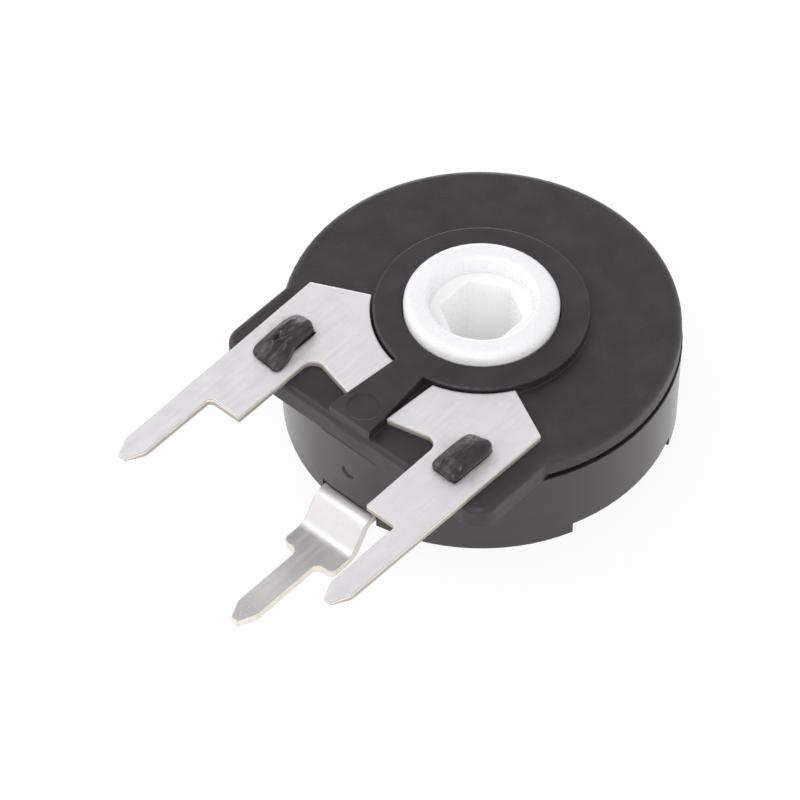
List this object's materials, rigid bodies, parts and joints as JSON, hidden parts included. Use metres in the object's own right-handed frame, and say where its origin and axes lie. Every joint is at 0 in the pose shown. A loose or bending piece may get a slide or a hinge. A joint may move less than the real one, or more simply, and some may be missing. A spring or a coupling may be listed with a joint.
{
  "type": "trimmer potentiometer",
  "caption": "Round carbon trimmer potentiometer with flat board pins, a white through-hole rotor and a sealed black housing.",
  "frame": {"origin": "on the rotor's axis, in the plane of the housing's feet round the adjusting face", "axes": "+Z along the rotor's axis, from the adjusting face to the terminal plate; -Y the way the three pins point; +X completes a right-handed frame"},
  "size_m": [0.0152, 0.0218, 0.0067],
  "materials": {
    "black_plastic": "moulded, fine matt grain",
    "white_plastic": "moulded, satin, slightly translucent",
    "tinned_metal": "stamped sheet with a matt tin coat",
    "collector_metal": "stamped sheet with a bright plated coat",
    "spring_metal": "rolled spring sheet, bright",
    "phenolic_board": "punched paper laminate",
    "carbon_film": "printed and cured carbon film",
    "silver_film": "printed silver film"
  },
  "bodies": {
    "housing": {"terminal_plate": "black_plastic", "housing_cup": "black_plastic", "track_board": "phenolic_board", "carbon_track": "carbon_film", "end_pads": "silver_film", "left_terminal": "tinned_metal", "right_terminal": "tinned_metal", "centre_terminal": "collector_metal"},
    "rotor": {"rotor": "white_plastic", "wiper": "spring_metal"}
  },
  "joints": [
    {"name": "rotor_turn", "type": "hinge", "parent": "housing", "child": "rotor", "pos_m": [0, 0, 0.0025], "axis": [0, 0, 1], "range_deg": [-132.5, 132.5]}
  ]
}
